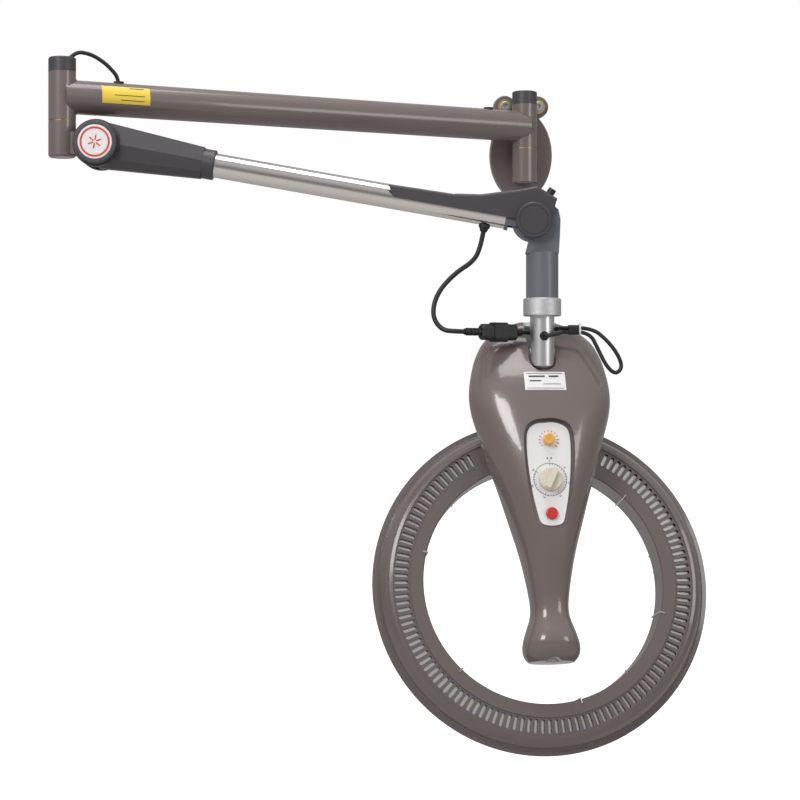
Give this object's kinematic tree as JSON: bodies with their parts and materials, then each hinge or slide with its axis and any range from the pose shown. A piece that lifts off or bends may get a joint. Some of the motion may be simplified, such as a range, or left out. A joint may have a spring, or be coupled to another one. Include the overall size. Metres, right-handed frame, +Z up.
{
  "type": "hood hair dryer",
  "caption": "Wall-mounted ring hair dryer on a two-section swing arm, with a tilting head, vented heater ring, timer, heat knob and power button.",
  "frame": {"origin": "middle of the four wall bolts, at the wall plate's back face", "axes": "+Z up, -Y out from the wall, +X to the right seen from the front"},
  "size_m": [0.8176, 0.4553, 0.8695],
  "materials": {
    "taupe_paint": "gloss",
    "taupe_plastic": "gloss",
    "grey_casting": "satin",
    "charcoal_plastic": "satin",
    "black_rubber": "matte",
    "chrome": "polished",
    "zinc_steel": "satin",
    "yellow_zinc": "satin",
    "cast_aluminium": "cast",
    "satin_aluminium": "satin",
    "bright_reflector": "polished",
    "white_plastic": "gloss",
    "cream_plastic": "gloss",
    "amber_plastic": "gloss",
    "red_plastic": "gloss",
    "heater_glass": "clear",
    "bronze": "satin"
  },
  "bodies": {
    "wall_bracket": {"wall_plate": "taupe_paint", "wall_bolts": "zinc_steel", "wall_washers": "yellow_zinc", "wall_post_bolt": "zinc_steel"},
    "upper_arm": {"upper_arm_tube": "taupe_paint", "wall_sleeve": "taupe_paint", "elbow_sleeve": "taupe_paint", "sleeve_bushes": "bronze", "wall_post_cap": "charcoal_plastic", "elbow_post_cap": "charcoal_plastic", "arm_cord_grommets": "black_rubber", "jumper_cord": "black_rubber"},
    "elbow": {"elbow_knuckle": "taupe_paint", "elbow_post_bolt": "zinc_steel", "knuckle_pins": "zinc_steel", "friction_discs": "bronze"},
    "spring_arm": {"arm_root_fork": "grey_casting", "chrome_tube": "chrome", "arm_cover_near": "charcoal_plastic", "arm_cover_far": "charcoal_plastic", "arm_collar": "charcoal_plastic", "lift_pivot_caps": "charcoal_plastic", "lift_badge": "white_plastic", "arm_end_fork": "grey_casting", "end_pivot_pin": "zinc_steel", "end_pivot_caps": "charcoal_plastic", "shield_cover": "charcoal_plastic", "balance_adjuster": "black_rubber", "lead_grommet": "black_rubber"},
    "level_rod": {"level_rod": "zinc_steel"},
    "drop_bracket": {"drop_casting": "grey_casting", "bracket_link_pin": "zinc_steel", "tube_bush": "bronze", "clamp_collar": "cast_aluminium"},
    "head_post": {"head_tube": "satin_aluminium", "tilt_clevis": "cast_aluminium", "tilt_pin": "zinc_steel", "tube_grommet": "black_rubber", "head_lead": "black_rubber", "lead_sleeve": "black_rubber", "cable_tie": "white_plastic", "lead_socket": "black_rubber", "lead_plug": "black_rubber", "supply_lead": "black_rubber"},
    "head": {"front_shell": "taupe_plastic", "back_cover": "white_plastic", "control_panel": "white_plastic", "tilt_bracket": "zinc_steel", "shell_screws": "zinc_steel", "timer_unit": "charcoal_plastic", "heat_control": "charcoal_plastic", "power_switch": "charcoal_plastic", "ring_shell": "taupe_plastic", "ring_reflector": "bright_reflector", "heater_tubes": "heater_glass", "heater_holders": "white_plastic", "guard_wires": "chrome"},
    "heat_knob": {"heat_knob": "amber_plastic"},
    "timer_knob": {"timer_knob": "cream_plastic"},
    "power_button": {"power_button": "red_plastic"}
  },
  "joints": [
    {"name": "wall_swivel", "type": "hinge", "parent": "wall_bracket", "child": "upper_arm", "pos_m": [0, -0.04, 0.0355], "axis": [0, 0, 1], "range_deg": [-15, 140]},
    {"name": "elbow_swivel", "type": "hinge", "parent": "upper_arm", "child": "elbow", "pos_m": [-0.61459, -0.25162, 0], "axis": [0, 0, 1], "range_deg": [-150, 10]},
    {"name": "arm_lift", "type": "hinge", "parent": "elbow", "child": "spring_arm", "pos_m": [-0.56944, -0.25637, -0.0246], "axis": [-0.1045, -0.9945, 0], "range_deg": [-35, 15], "deforming": ["supply_lead"]},
    {"name": "level_rod_swing", "type": "hinge", "parent": "elbow", "child": "level_rod", "pos_m": [-0.56944, -0.25637, -0.0146], "axis": [-0.1045, -0.9945, 0], "range_deg": [-35, 15]},
    {"name": "bracket_level", "type": "hinge", "parent": "spring_arm", "child": "drop_bracket", "pos_m": [-0.03566, -0.31247, -0.11924], "axis": [-0.1045, -0.9945, 0], "range_deg": [-15, 35]},
    {"name": "head_swivel", "type": "hinge", "parent": "drop_bracket", "child": "head_post", "pos_m": [-0.02402, -0.31369, -0.22024], "axis": [0, 0, 1], "range_deg": [-90, 90], "deforming": ["supply_lead"]},
    {"name": "head_tilt", "type": "hinge", "parent": "head_post", "child": "head", "pos_m": [-0.02402, -0.31369, -0.28024], "axis": [-1, 0, 0], "range_deg": [-10, 30]},
    {"name": "heat_turn", "type": "hinge", "parent": "head", "child": "heat_knob", "pos_m": [-0.02402, -0.35675, -0.38879], "axis": [0, -0.9659, 0.2588], "range_deg": [0, 270]},
    {"name": "timer_turn", "type": "hinge", "parent": "head", "child": "timer_knob", "pos_m": [-0.02402, -0.36944, -0.43612], "axis": [0, -0.9659, 0.2588], "range_deg": [0, 300]},
    {"name": "power_press", "type": "slide", "parent": "head", "child": "power_button", "axis": [0, 0.9659, -0.2588], "range_m": [0, 0.0025]}
  ],
  "couplings": [
    {"joint": "level_rod_swing", "follows": "arm_lift", "ratio": 1},
    {"joint": "bracket_level", "follows": "arm_lift", "ratio": -1}
  ]
}
